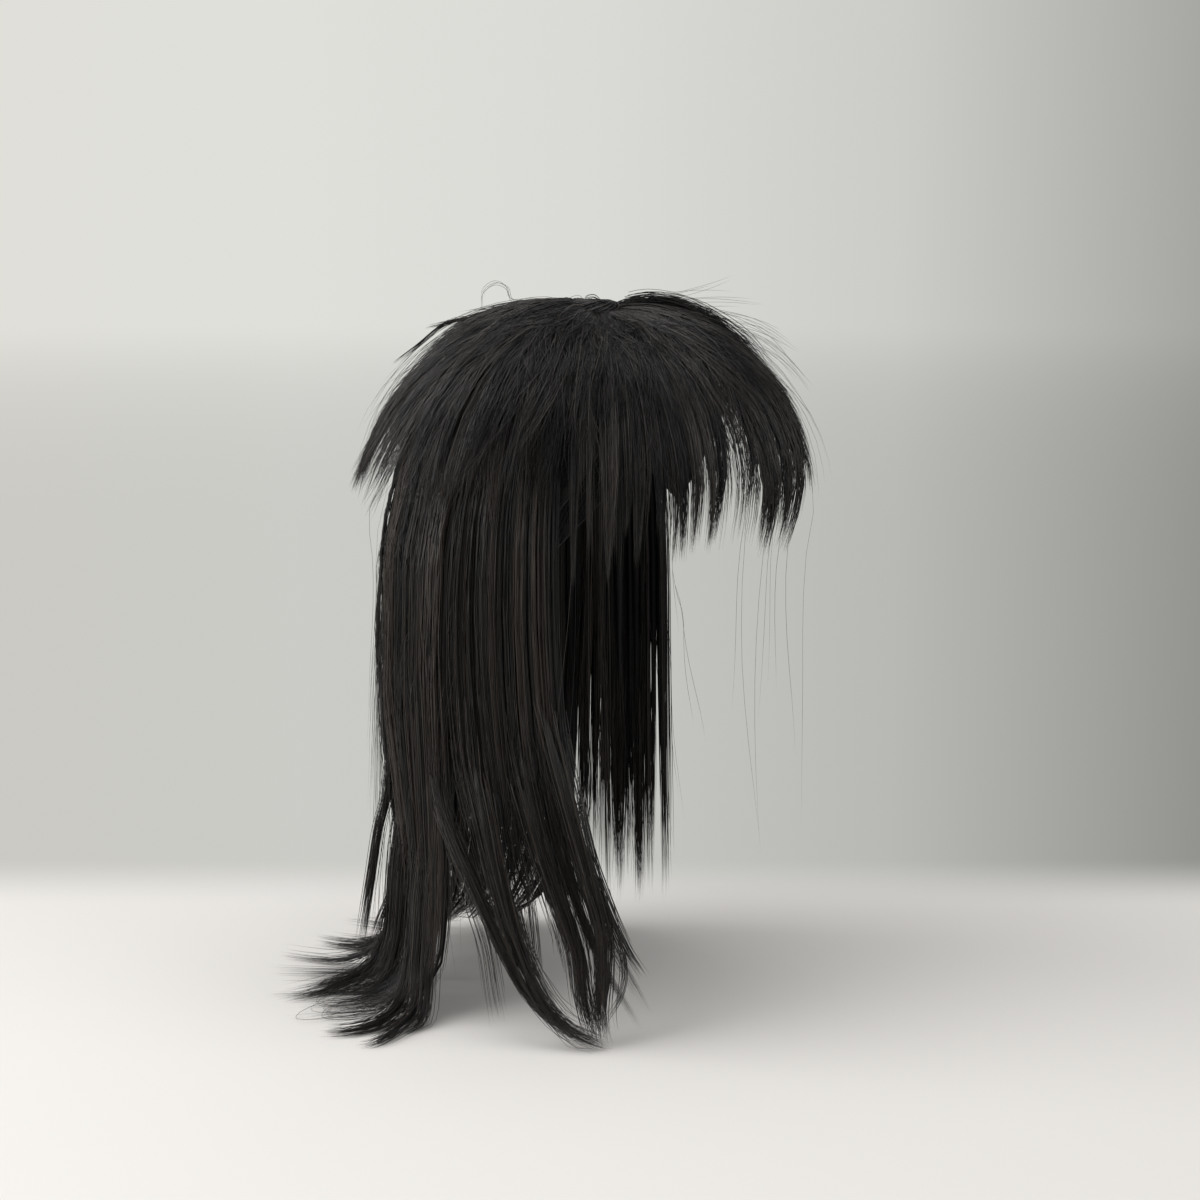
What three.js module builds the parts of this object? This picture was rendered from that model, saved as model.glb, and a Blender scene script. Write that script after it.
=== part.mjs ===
// A mullet wig: a net cap that carries tiers of straight black hair, short and spiky over the crown, parted
// in a fringe over the forehead, and long at the sides and the back. It has the form that it takes when it
// is worn. The origin is the top of the head, under the cap. +Z is up, -Y is the way the wearer faces, +X
// is their left. Lengths are in millimetres. Azimuths are in degrees: 0 is the front, 90 the wearer's left,
// 180 the back.
//
// Each tier is made of closed sheets of locks. Hair follows a path that runs down over the crown of the
// head and falls straight past its widest level. The tail then turns outwards and lies on the level surface
// that it reaches. A sheet's depth is its distance out from the cap, and each tier lies outside the one
// beneath it.

import * as THREE from 'three';
import { ParametricGeometry } from 'three/addons/geometries/ParametricGeometry.js';
import { mergeVertices } from 'three/addons/utils/BufferGeometryUtils.js';

// The head that the wig fits: half its width and depth, and from its top to its widest level.
const headHalfWidth = 76;
const headHalfDepth = 97;
const headDome = 95;

// The cap: its wall, and how far its rim lies below the top of the head.
const capWall = 1.5;
const capFrontDrop = 48;
const capTempleDrop = 70;
const capEarTabDrop = 118;
const capEarArchDrop = 98;
const capNapeDrop = 158;

// The knot that closes the crown.
const whorlHeight = 9;

// Air between the cap and the roots sewn to it, between two tiers, and between two pieces side by side.
const rootGap = 0.7;
const layerGap = 1.4;
const sideGap = 0.8;

// How far down the hair is pushed fully out by the shoulders, the level that the tail lies on, and its bend
// there.
const shoulderDrop = 425;
const surfaceDrop = 430;
const surfaceBend = 42;

// Each tier: how far down the path its roots lie, the length of its longest lock, how far its outside
// stands off the cap, and its thickness.
const napeRoot = 116;
const napeLength = 285;
const napeStand = 26;
const napeThickness = 6;

const longRoot = 72;
const longLength = 500;
const longStand = 47;
const longThickness = 11;
const sideLength = 405;

const midRoot = 48;
const midLength = 124;
const midStand = 45;
const midThickness = 6.5;

const crownRoot = 24;
const crownLength = 134;
const crownStand = 60;
const crownThickness = 8;

const fringeRoot = 24;
const fringeLength = 188;
const fringeStand = 50;
const fringeThickness = 8;

const topRoot = 9;
const topLength = 88;
const topStand = 33;
const topThickness = 4.5;

// The locks: the depth of the grooves between them, the thinnest hair at their tips, and how far the
// longest tips of the short tiers are flicked outwards.
const grooveDepth = 1.6;
const thinnest = 1;
const crownFlick = 7;
const topFlick = 5;

// Azimuths: where the long hair starts beside the face, and parts into two sides and a tail, the front ends
// of the tiers under it and over it, the parting of the fringe, and how far the tips beside the right cheek
// swing forward.
const rightFrontAngle = -67;
const rightSplitAngle = -104;
const leftFrontAngle = 98;
const leftSplitAngle = 126;
const napeFrontAngle = 112;
const midFrontAngle = 72;
const fringeSideAngle = 66;
const partRightAngle = -12;
const partLeftAngle = -5;
const rightSwingAngle = 30;

// The longest step between two rows of a sheet: where the head curves, down the fall, and round the bend.
const domeStep = 24;
const fallStep = 60;
const bendStep = 24;

const halfTurn = 180;
const wholeTurn = 360;
const radians = THREE.MathUtils.degToRad;
const domeArc = headDome * Math.PI / 2;
const bendTop = domeArc + surfaceDrop - headDome - surfaceBend;
const rootDepth = capWall + rootGap;
const sideAngle = THREE.MathUtils.radToDeg(sideGap / headHalfWidth);

// A smooth curve through two columns of a table.
function curveOf(table, across, up) {
  const curve = new THREE.CubicInterpolant(table.map((row) => row[across]), table.map((row) => row[up]), 1);
  return (x) => curve.evaluate(x)[0];
}

// The head's horizontal radius at its widest level.
function headRadius(azimuth) {
  const a = radians(azimuth);
  return 1 / Math.hypot(Math.sin(a) / headHalfWidth, Math.cos(a) / headHalfDepth);
}

// How full the hair is round the head, as a share of each tier's stand-off: close to the wearer's right
// cheek and temple, fuller on their left, and full at the back. Over the shoulders all of it is pushed out.
const fullnessTable = [
  { azimuth: -180, atHead: 1.00, atShoulder: 1.00 },
  { azimuth: -140, atHead: 1.00, atShoulder: 1.00 },
  { azimuth: -104, atHead: 0.98, atShoulder: 1.08 },
  { azimuth: -84, atHead: 0.72, atShoulder: 1.05 },
  { azimuth: -67, atHead: 0.46, atShoulder: 0.95 },
  { azimuth: -45, atHead: 0.42, atShoulder: 0.90 },
  { azimuth: -20, atHead: 0.46, atShoulder: 0.80 },
  { azimuth: 5, atHead: 0.64, atShoulder: 0.80 },
  { azimuth: 33, atHead: 0.87, atShoulder: 0.90 },
  { azimuth: 62, atHead: 0.86, atShoulder: 0.95 },
  { azimuth: 90, atHead: 0.80, atShoulder: 1.00 },
  { azimuth: 125, atHead: 0.96, atShoulder: 1.05 },
  { azimuth: 150, atHead: 1.00, atShoulder: 1.00 },
  { azimuth: 180, atHead: 1.00, atShoulder: 1.00 },
];
const fullAtHead = curveOf(fullnessTable, 'azimuth', 'atHead');
const fullAtShoulder = curveOf(fullnessTable, 'azimuth', 'atShoulder');

function fullness(azimuth, along) {
  const around = THREE.MathUtils.euclideanModulo(azimuth + halfTurn, wholeTurn) - halfTurn;
  const lower = THREE.MathUtils.smoothstep(along, domeArc + headDome, domeArc + shoulderDrop - headDome);
  return THREE.MathUtils.lerp(fullAtHead(around), fullAtShoulder(around), lower);
}

// A point on the path that hair follows, as a share of the head's radius, a distance outside it, and a
// height, with the direction in which depth is counted. A tail that lies on the surface meets it with its
// inner face, so its bend turns about that depth.
function pathAt(along, lies) {
  if (along < domeArc) {
    const turn = along / headDome;
    const [side, rise] = [Math.sin(turn), Math.cos(turn)];
    return { head: side, out: 0, up: headDome * (rise - 1), side, rise };
  }
  if (!lies || along < bendTop) {
    return { head: 1, out: 0, up: domeArc - along - headDome, side: 1, rise: 0 };
  }
  const arm = surfaceBend + rootDepth + longStand - longThickness;
  const turn = Math.min((along - bendTop) / surfaceBend, Math.PI / 2);
  const run = along - bendTop - surfaceBend * turn;
  return {
    head: 1,
    out: arm * (1 - Math.cos(turn)) + run,
    up: domeArc - bendTop - headDome - arm * Math.sin(turn),
    side: Math.cos(turn),
    rise: Math.sin(turn),
  };
}

function placeOnPath(target, azimuth, along, depth, lies) {
  const path = pathAt(along, lies);
  const radius = path.head * headRadius(azimuth) + path.out + depth * path.side;
  const a = radians(azimuth);
  return target.set(radius * Math.sin(a), -radius * Math.cos(a), path.up + depth * path.rise);
}

// The tiers' shapes. At each share of a tier's length, its outside depth is a share of its stand-off and
// its wall a share of its thickness.
const napeShape = [
  { along: 0.00, outside: 0.20, wall: 1.0 },
  { along: 0.15, outside: 0.36, wall: 1.0 },
  { along: 0.40, outside: 0.80, wall: 1.1 },
  { along: 0.70, outside: 1.00, wall: 0.9 },
  { along: 1.00, outside: 1.00, wall: 0.3 },
];
const longShape = [
  { along: 0.00, outside: 0.10, wall: 0.50 },
  { along: 0.04, outside: 0.30, wall: 0.75 },
  { along: 0.11, outside: 0.53, wall: 0.90 },
  { along: 0.16, outside: 0.74, wall: 1.00 },
  { along: 0.22, outside: 0.88, wall: 1.05 },
  { along: 0.35, outside: 1.00, wall: 1.05 },
  { along: 0.50, outside: 0.96, wall: 1.00 },
  { along: 0.65, outside: 0.94, wall: 0.95 },
  { along: 0.80, outside: 0.93, wall: 0.80 },
  { along: 0.92, outside: 0.90, wall: 0.60 },
  { along: 1.00, outside: 0.81, wall: 0.20 },
];
const midShape = [
  { along: 0.00, outside: 0.10, wall: 0.75 },
  { along: 0.14, outside: 0.24, wall: 0.85 },
  { along: 0.28, outside: 0.38, wall: 0.90 },
  { along: 0.50, outside: 0.64, wall: 0.95 },
  { along: 0.70, outside: 0.88, wall: 1.00 },
  { along: 0.85, outside: 0.97, wall: 0.90 },
  { along: 1.00, outside: 1.08, wall: 0.40 },
];
const crownShape = [
  { along: 0.00, outside: 0.08, wall: 0.65 },
  { along: 0.12, outside: 0.15, wall: 0.75 },
  { along: 0.30, outside: 0.30, wall: 0.90 },
  { along: 0.44, outside: 0.43, wall: 0.95 },
  { along: 0.64, outside: 0.64, wall: 1.00 },
  { along: 0.84, outside: 0.84, wall: 0.90 },
  { along: 1.00, outside: 1.00, wall: 0.30 },
];
const fringeShape = [
  { along: 0.00, outside: 0.10, wall: 0.65 },
  { along: 0.08, outside: 0.18, wall: 0.80 },
  { along: 0.22, outside: 0.42, wall: 0.95 },
  { along: 0.38, outside: 0.66, wall: 1.00 },
  { along: 0.54, outside: 0.90, wall: 1.00 },
  { along: 0.66, outside: 1.00, wall: 0.90 },
  { along: 0.82, outside: 0.86, wall: 0.70 },
  { along: 1.00, outside: 0.50, wall: 0.25 },
];
const topShape = [
  { along: 0.00, outside: 0.16, wall: 1.00 },
  { along: 0.16, outside: 0.37, wall: 1.00 },
  { along: 0.42, outside: 0.60, wall: 1.00 },
  { along: 0.75, outside: 0.89, wall: 1.00 },
  { along: 1.00, outside: 1.02, wall: 0.30 },
];

// A tier's inside and outside depth at a distance down the path, where the hair is this full. It lies on
// the cap, or clear of the tiers below where they are.
function tierOf({ root, length, stand, thickness, shape, below = [] }) {
  const outsideShare = curveOf(shape, 'along', 'outside');
  const wallShare = curveOf(shape, 'along', 'wall');
  const depthAt = (along, full) => {
    const share = (along - root) / length;
    const wall = Math.max(wallShare(share) * thickness * full, thinnest);
    const floors = below
      .filter((tier) => along >= tier.root && along <= tier.root + tier.length)
      .map((tier) => tier.depthAt(along, full).outside + layerGap);
    const inside = Math.max(outsideShare(share) * stand * full - wall, 0, ...floors);
    return { inside, outside: Math.max(outsideShare(share) * stand * full, inside + wall) };
  };
  return { root, length, depthAt };
}

const napeTier = tierOf({
  root: napeRoot, length: napeLength, stand: napeStand, thickness: napeThickness, shape: napeShape,
});
const longTier = tierOf({
  root: longRoot, length: longLength, stand: longStand, thickness: longThickness, shape: longShape,
  below: [napeTier],
});
const midTier = tierOf({
  root: midRoot, length: midLength, stand: midStand, thickness: midThickness, shape: midShape,
  below: [longTier],
});
const crownTier = tierOf({
  root: crownRoot, length: crownLength, stand: crownStand, thickness: crownThickness, shape: crownShape,
  below: [midTier],
});
const fringeTier = tierOf({
  root: fringeRoot, length: fringeLength, stand: fringeStand, thickness: fringeThickness, shape: fringeShape,
});
const topTier = tierOf({
  root: topRoot, length: topLength, stand: topStand, thickness: topThickness, shape: topShape,
  below: [crownTier, fringeTier],
});

// Lock tables: each row is one lock, with its share of the sheet's width, its reach as a share of the
// sheet's length, and how far its tip is flicked outwards, as a share of the sheet's flick.
const napeLocks = [
  { width: 1.0, reach: 0.92, flick: 0 },
  { width: 1.1, reach: 1.00, flick: 0 },
  { width: 0.9, reach: 0.87, flick: 0 },
];
const tailLocks = [
  { width: 1.0, reach: 0.93, flick: 0 },
  { width: 0.8, reach: 0.98, flick: 0 },
  { width: 1.1, reach: 0.90, flick: 0 },
  { width: 1.2, reach: 1.00, flick: 0 },
  { width: 0.9, reach: 0.95, flick: 0 },
];
const sideLocks = [
  { width: 0.8, reach: 0.97, flick: 0 },
  { width: 1.2, reach: 1.00, flick: 0 },
  { width: 1.0, reach: 0.93, flick: 0 },
  { width: 1.0, reach: 0.98, flick: 0 },
];
const midLocks = [
  { width: 1.0, reach: 0.90, flick: 0 },
  { width: 1.2, reach: 1.00, flick: 0 },
  { width: 0.8, reach: 0.86, flick: 0 },
  { width: 1.1, reach: 0.97, flick: 0 },
];
const crownLocks = [
  { width: 1.1, reach: 1.00, flick: 0.9 },
  { width: 0.8, reach: 0.84, flick: 0.2 },
  { width: 1.2, reach: 0.95, flick: 1.0 },
  { width: 0.9, reach: 0.88, flick: 0.0 },
  { width: 1.0, reach: 0.98, flick: 0.5 },
  { width: 0.7, reach: 0.80, flick: 0.3 },
];
const fringeRightLocks = [
  { width: 1.0, reach: 1.00, flick: 0 },
  { width: 0.8, reach: 0.92, flick: 0 },
  { width: 1.2, reach: 0.97, flick: 0 },
  { width: 0.9, reach: 0.84, flick: 0 },
  { width: 1.1, reach: 0.88, flick: 0 },
  { width: 0.7, reach: 0.78, flick: 0 },
  { width: 0.8, reach: 0.82, flick: 0 },
];
const fringeLeftLocks = [
  { width: 0.8, reach: 0.80, flick: 0 },
  { width: 1.0, reach: 0.88, flick: 0 },
  { width: 0.8, reach: 0.83, flick: 0 },
  { width: 1.1, reach: 0.90, flick: 0 },
  { width: 0.9, reach: 0.80, flick: 0 },
  { width: 1.0, reach: 0.87, flick: 0 },
];
const topLocks = [
  { width: 1.0, reach: 0.92, flick: 0.2 },
  { width: 0.8, reach: 0.76, flick: 0.0 },
  { width: 1.1, reach: 1.00, flick: 0.6 },
  { width: 0.9, reach: 0.84, flick: 1.0 },
  { width: 1.2, reach: 0.95, flick: 0.1 },
];

// The columns across one lock: where they stand in its width, how much of its reach beyond the split they
// have, and how deep they lie in the groove between it and the next lock.
const lockColumns = [
  { across: 0.00, reach: 0.00, groove: 1.0 },
  { across: 0.28, reach: 0.72, groove: 0.3 },
  { across: 0.52, reach: 1.00, groove: 0.0 },
  { across: 0.76, reach: 0.66, groove: 0.4 },
];
const tipColumn = lockColumns[2];

// Lays the locks of a table side by side from one azimuth to another, taking its rows in turn.
function columnsOf({ from, to, count, locks, split }) {
  const laid = Array.from({ length: count }, (_, i) => locks[i % locks.length]);
  const scale = (to - from) / laid.reduce((sum, lock) => sum + lock.width, 0);
  const columns = [];
  let azimuth = from;
  laid.forEach((lock, i) => {
    const previous = laid[(i + count - 1) % count];
    const splitReach = Math.min(lock.reach, previous.reach) * split;
    const start = azimuth;
    lockColumns.forEach((column) => columns.push({
      azimuth: start + column.across * lock.width * scale,
      tip: start + (column.reach > 0 ? tipColumn.across * lock.width * scale : 0),
      reach: THREE.MathUtils.lerp(splitReach, lock.reach, column.reach),
      groove: column.groove,
      flick: column.reach * lock.flick,
    }));
    azimuth += lock.width * scale;
  });
  columns.push({ ...columns[0], azimuth: to, tip: to });
  return columns;
}

// The levels down the path at which a sheet has its rows. All sheets share them, so that one lies clear of
// another along its whole length. A row too near the end is left out.
function levelsBetween(start, end) {
  const roots = [topRoot, crownRoot, fringeRoot, midRoot, longRoot, napeRoot];
  const marks = [...roots, domeArc, bendTop, longRoot + longLength].sort((a, b) => a - b);
  const levels = marks.flatMap((mark, i) => {
    const next = marks[i + 1] ?? mark;
    const step = mark < domeArc ? domeStep : mark < bendTop ? fallStep : bendStep;
    const count = Math.ceil((next - mark) / step);
    return Array.from({ length: count }, (_, k) => THREE.MathUtils.lerp(mark, next, k / count));
  });
  return [...levels.filter((level) => level >= start && level < end - domeStep / 3), end];
}

// Removes the seams of a surface and the faces that have shrunk to an edge, so that it is one closed body.
function closed(geometry) {
  geometry.deleteAttribute('normal');
  geometry.deleteAttribute('uv');
  const merged = mergeVertices(geometry, 1e-3);
  const index = [];
  for (let i = 0; i < merged.index.count; i += 3) {
    const [a, b, c] = [0, 1, 2].map((k) => merged.index.getX(i + k));
    if (a !== b && b !== c && c !== a) {
      index.push(a, b, c);
    }
  }
  merged.setIndex(index);
  merged.computeVertexNormals();
  return merged;
}

// A sheet of locks. Its section runs down the inside and back up the outside. Up to the shallowest split
// its rows stand at the shared levels, and beyond it they are drawn up to each lock's own length. The
// columns of a lock gather towards its tip. A sheet that doesn't go all the way round comes to an edge at
// both sides.
function lockSheet({ tier, from, to, count, locks, split, length = tier.length, gather = 0.45, flick = 0,
  swing = 0, lies = false }) {
  const columns = columnsOf({ from, to, count, locks, split });
  if (to - from < wholeTurn) {
    const [first, last] = [from - sideAngle, to + sideAngle];
    columns.unshift({ ...columns[0], azimuth: first, tip: first, closing: true });
    columns.push({ ...columns[columns.length - 1], azimuth: last, tip: last, closing: true });
  }
  const end = tier.root + length;
  const levels = levelsBetween(tier.root, end);
  const splitLevel = tier.root + Math.min(...columns.map((column) => column.reach)) * length;
  const section = 2 * levels.length;
  const surface = (u, v, target) => {
    const column = columns[Math.round(u * (columns.length - 1))];
    const step = Math.round(v * section) % section;
    const isInside = step < levels.length;
    const level = levels[isInside ? step : section - 1 - step];
    const tip = tier.root + column.reach * length;
    const along = level < splitLevel
      ? level
      : THREE.MathUtils.mapLinear(level, splitLevel, end, splitLevel, tip);
    const share = (along - tier.root) / (tip - tier.root);
    const fallShare = Math.max(along - domeArc, 0) / (end - domeArc);
    const gathered = THREE.MathUtils.lerp(column.azimuth, column.tip, gather * share ** 3);
    const azimuth = gathered + swing * fallShare ** 3;
    const { inside, outside } = tier.depthAt(along, fullness(azimuth, along));
    const low = inside + flick * column.flick * share ** 5;
    const groove = grooveDepth * column.groove * Math.sqrt(share);
    const high = low + Math.max((outside - inside) * (1 - share ** 4) - groove, thinnest);
    const depth = column.closing ? (low + high) / 2 : isInside ? low : high;
    return placeOnPath(target, azimuth, along, rootDepth + depth, lies);
  };
  return closed(new ParametricGeometry(surface, columns.length - 1, section));
}

// The cap: a dome of net that follows the head, higher over the forehead and ears and lower at the nape.
const capRim = [
  { azimuth: -180, drop: capNapeDrop },
  { azimuth: -150, drop: capNapeDrop },
  { azimuth: -122, drop: (capNapeDrop + capEarArchDrop) / 2 },
  { azimuth: -100, drop: capEarArchDrop },
  { azimuth: -78, drop: capEarTabDrop },
  { azimuth: -50, drop: capTempleDrop },
  { azimuth: 0, drop: capFrontDrop },
  { azimuth: 50, drop: capTempleDrop },
  { azimuth: 78, drop: capEarTabDrop },
  { azimuth: 100, drop: capEarArchDrop },
  { azimuth: 122, drop: (capNapeDrop + capEarArchDrop) / 2 },
  { azimuth: 150, drop: capNapeDrop },
  { azimuth: 180, drop: capNapeDrop },
];

// Its section runs down the inside from the pole, and back up the outside to it.
function capGeometry() {
  const rimDrop = curveOf(capRim, 'azimuth', 'drop');
  const columns = 32;
  const rows = 7;
  const section = 2 * rows + 1;
  const surface = (u, v, target) => {
    const azimuth = THREE.MathUtils.lerp(-halfTurn, halfTurn, u);
    const step = Math.round(v * section);
    const isInside = step <= rows;
    const wall = isInside ? 0 : capWall;
    const rimTurn = Math.acos(1 - rimDrop(azimuth) / headDome);
    const turn = rimTurn * (isInside ? step : section - step) / rows;
    const radius = (headRadius(azimuth) + wall) * Math.sin(turn);
    const a = radians(azimuth);
    return target.set(
      radius * Math.sin(a),
      -radius * Math.cos(a),
      (headDome + wall) * Math.cos(turn) - headDome,
    );
  };
  return closed(new ParametricGeometry(surface, columns, section));
}

// The knot stands on the cap inside the ring of the top layer's roots. It is a low drum with a domed top.
function whorlGeometry() {
  const radius = topRoot * headHalfWidth / headDome - 2 * rootGap;
  const wallShare = 0.4;
  const dome = [0, 30, 60, 90].map((turn) => new THREE.Vector2(
    radius * Math.cos(radians(turn)),
    whorlHeight * THREE.MathUtils.lerp(wallShare, 1, Math.sin(radians(turn))),
  ));
  const profile = [new THREE.Vector2(0, 0), new THREE.Vector2(radius, 0), ...dome];
  return closed(new THREE.LatheGeometry(profile, 12).rotateX(Math.PI / 2).translate(0, 0, rootDepth));
}

const hair = new THREE.MeshStandardMaterial({ color: 0x23201e, roughness: 0.45, metalness: 0 });
const net = new THREE.MeshStandardMaterial({ color: 0x1b1918, roughness: 0.85, metalness: 0 });

const wig = new THREE.Group();
function add(name, geometry, material) {
  const mesh = new THREE.Mesh(geometry, material);
  mesh.name = name;
  wig.add(mesh);
}

// A sheet that stands beside another starts three side angles from it: each of the two comes to an edge one
// side angle past its end, and one lies open between them.
const besideAngle = 3 * sideAngle;

add('wig_cap', capGeometry(), net);
add('nape_layer', lockSheet({
  tier: napeTier,
  from: napeFrontAngle,
  to: wholeTurn - napeFrontAngle,
  count: 6,
  locks: napeLocks,
  split: 0.86,
}), hair);
add('long_back', lockSheet({
  tier: longTier,
  from: leftSplitAngle + besideAngle,
  to: wholeTurn + rightSplitAngle - besideAngle,
  count: 8,
  locks: tailLocks,
  split: 0.8,
  lies: true,
}), hair);
add('long_side_right', lockSheet({
  tier: longTier,
  from: rightSplitAngle,
  to: rightFrontAngle,
  count: 4,
  locks: sideLocks,
  split: 0.84,
  length: sideLength,
  swing: rightSwingAngle,
}), hair);
add('long_side_left', lockSheet({
  tier: longTier,
  from: leftFrontAngle,
  to: leftSplitAngle,
  count: 4,
  locks: sideLocks,
  split: 0.84,
  length: sideLength,
}), hair);
add('mid_layer', lockSheet({
  tier: midTier,
  from: midFrontAngle,
  to: wholeTurn - midFrontAngle,
  count: 11,
  locks: midLocks,
  split: 0.8,
}), hair);
add('crown_layer', lockSheet({
  tier: crownTier,
  from: fringeSideAngle + besideAngle,
  to: wholeTurn - fringeSideAngle - besideAngle,
  count: 15,
  locks: crownLocks,
  split: 0.76,
  flick: crownFlick,
}), hair);
add('fringe_right', lockSheet({
  tier: fringeTier,
  from: -fringeSideAngle,
  to: partRightAngle,
  count: 7,
  locks: fringeRightLocks,
  split: 0.82,
}), hair);
add('fringe_left', lockSheet({
  tier: fringeTier,
  from: partLeftAngle,
  to: fringeSideAngle,
  count: 6,
  locks: fringeLeftLocks,
  split: 0.82,
}), hair);
add('top_layer', lockSheet({
  tier: topTier,
  from: 0,
  to: wholeTurn,
  count: 15,
  locks: topLocks,
  split: 0.74,
  flick: topFlick,
}), hair);
add('crown_whorl', whorlGeometry(), hair);

export default wig;
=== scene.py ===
from math import pi

import bmesh
import bpy
import numpy as np
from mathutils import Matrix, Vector


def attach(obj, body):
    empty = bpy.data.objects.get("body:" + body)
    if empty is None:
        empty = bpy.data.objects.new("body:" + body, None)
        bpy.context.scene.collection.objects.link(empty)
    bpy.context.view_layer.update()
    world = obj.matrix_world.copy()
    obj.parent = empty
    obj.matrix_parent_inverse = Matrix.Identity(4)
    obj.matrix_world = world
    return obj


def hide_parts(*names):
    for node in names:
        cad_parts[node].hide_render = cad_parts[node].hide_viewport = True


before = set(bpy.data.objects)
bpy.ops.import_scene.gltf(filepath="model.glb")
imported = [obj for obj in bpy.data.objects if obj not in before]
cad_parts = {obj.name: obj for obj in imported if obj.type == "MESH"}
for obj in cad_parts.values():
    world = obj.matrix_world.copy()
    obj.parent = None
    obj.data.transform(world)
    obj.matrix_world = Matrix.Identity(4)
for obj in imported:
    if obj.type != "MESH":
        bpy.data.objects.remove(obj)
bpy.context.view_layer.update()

# The head and the cap, how far off the head the roots are, the gap between one tier and the next, the
# thinnest that a tier may be, and the least depth of a strand over the roots.
HEAD_HALF_WIDTH = 0.076
HEAD_HALF_DEPTH = 0.097
HEAD_DOME = 0.095
ROOT_DEPTH = 0.0022
LAYER_GAP = 0.0014
THINNEST_WALL = 0.001
LEAST_DEPTH = 0.0003

# The fall: how far down the hair stands out most, the level that the tail bends to, the arc of the bend
# and its arm, and how high strands and hearts lie above the surface there.
SHOULDER_DROP = 0.425
SURFACE_DROP = 0.430
SURFACE_BEND = 0.042
DOME_ARC = HEAD_DOME * pi / 2
BEND_TOP = DOME_ARC + SURFACE_DROP - HEAD_DOME - SURFACE_BEND
SURFACE_ARM = SURFACE_BEND + ROOT_DEPTH + 0.036
STRAND_FLOOR = 0.0006 - SURFACE_DROP
HEART_FLOOR = 0.0016 - SURFACE_DROP

# The side that the locks drawn one by one turn their flat to: up, and towards the photograph's camera.
FLAT_TOWARDS = np.array([-0.75, -0.45, 0.48])

# Half widths, of a strand and a fine strand, and the least and most of a heart: the flat, tapered body
# inside a lock.
STRAND = 0.00026
FINE_STRAND = 0.0002
NARROWEST_HEART, WIDEST_HEART = 0.0003, 0.008


def curve_of(rows):
    """A smooth curve through (x, y) rows, which holds its end values outside them."""
    xs, ys = np.array(rows, float).T
    slopes = np.gradient(ys, xs)

    def at(x):
        x = np.clip(x, xs[0], xs[-1])
        i = np.clip(np.searchsorted(xs, x, side="right") - 1, 0, len(xs) - 2)
        step = xs[i + 1] - xs[i]
        t = (x - xs[i]) / step
        start = (1 + 2 * t) * (1 - t) ** 2 * ys[i] + t * (1 - t) ** 2 * step * slopes[i]
        end = t * t * (3 - 2 * t) * ys[i + 1] - t * t * (1 - t) * step * slopes[i + 1]
        return start + end

    return at


def smooth_step(x, low, high):
    """From 0 at low to 1 at high, level at both ends."""
    t = np.clip((x - low) / (high - low), 0, 1)
    return t * t * (3 - 2 * t)


def mix(a, b, share):
    return a + (b - a) * share


def places_along(steps):
    """The places of a line's points, from 0 to 1: evenly spaced, or as they are listed."""
    return (np.linspace(0, 1, steps) if isinstance(steps, int) else np.array(steps))[None, :]


def taper(t, share, least):
    """How a line narrows over the last share of its length, to the least share of its width."""
    return np.clip((1.02 - t) / share, least, 1)


def strand_tints(rng, count, shift=0.0):
    """Each strand's tint, from 0, the darkest, to 1."""
    return np.clip(rng.normal(0.5, 0.2, count) + shift, 0, 1)


# How full the hair is round the head, as a share of each tier's stand-off.
full_at_head = curve_of([
    (-180, 1.00), (-140, 1.00), (-104, 0.98), (-84, 0.72), (-67, 0.46), (-45, 0.42), (-20, 0.46),
    (5, 0.64), (33, 0.87), (62, 0.86), (90, 0.80), (125, 0.96), (150, 1.00), (180, 1.00),
])
full_at_shoulder = curve_of([
    (-180, 1.00), (-140, 1.00), (-104, 1.08), (-84, 1.05), (-67, 0.95), (-45, 0.90), (-20, 0.80),
    (5, 0.80), (33, 0.90), (62, 0.95), (90, 1.00), (125, 1.05), (150, 1.00), (180, 1.00),
])


def fullness(azimuth, along):
    """The share of its stand-off that a tier has at a place."""
    around = (azimuth + 180) % 360 - 180
    lower = smooth_step(along, DOME_ARC + HEAD_DOME, DOME_ARC + SHOULDER_DROP - HEAD_DOME)
    return mix(full_at_head(around), full_at_shoulder(around), lower)


def head_radius(azimuth):
    a = np.radians(azimuth)
    return 1 / np.hypot(np.sin(a) / HEAD_HALF_WIDTH, np.cos(a) / HEAD_HALF_DEPTH)


def on_path(azimuth, along, depth, lies):
    """Points on the path that hair follows down over the head, and the way out from the head there."""
    a = np.radians(azimuth)
    turn = np.clip(along / HEAD_DOME, 0, pi / 2)
    side, rise = np.sin(turn), np.cos(turn)
    head, out = side, np.zeros_like(side)
    up = np.where(along < DOME_ARC, HEAD_DOME * (rise - 1), DOME_ARC - HEAD_DOME - along)
    if lies:
        bend = np.clip((along - BEND_TOP) / SURFACE_BEND, 0, pi / 2)
        run = np.maximum(along - BEND_TOP - SURFACE_BEND * bend, 0)
        down = along > BEND_TOP
        out = np.where(down, SURFACE_ARM * (1 - np.cos(bend)) + run, out)
        up = np.where(down, DOME_ARC - BEND_TOP - HEAD_DOME - SURFACE_ARM * np.sin(bend), up)
        side = np.where(down, np.cos(bend), side)
        rise = np.where(down, np.sin(bend), rise)
    radius = head * head_radius(azimuth) + out + (ROOT_DEPTH + depth) * side
    points = np.stack(
        [radius * np.sin(a), -radius * np.cos(a), up + (ROOT_DEPTH + depth) * rise], axis=-1)
    outward = np.stack([side * np.sin(a), -side * np.cos(a), rise], axis=-1)
    return points, outward


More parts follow.
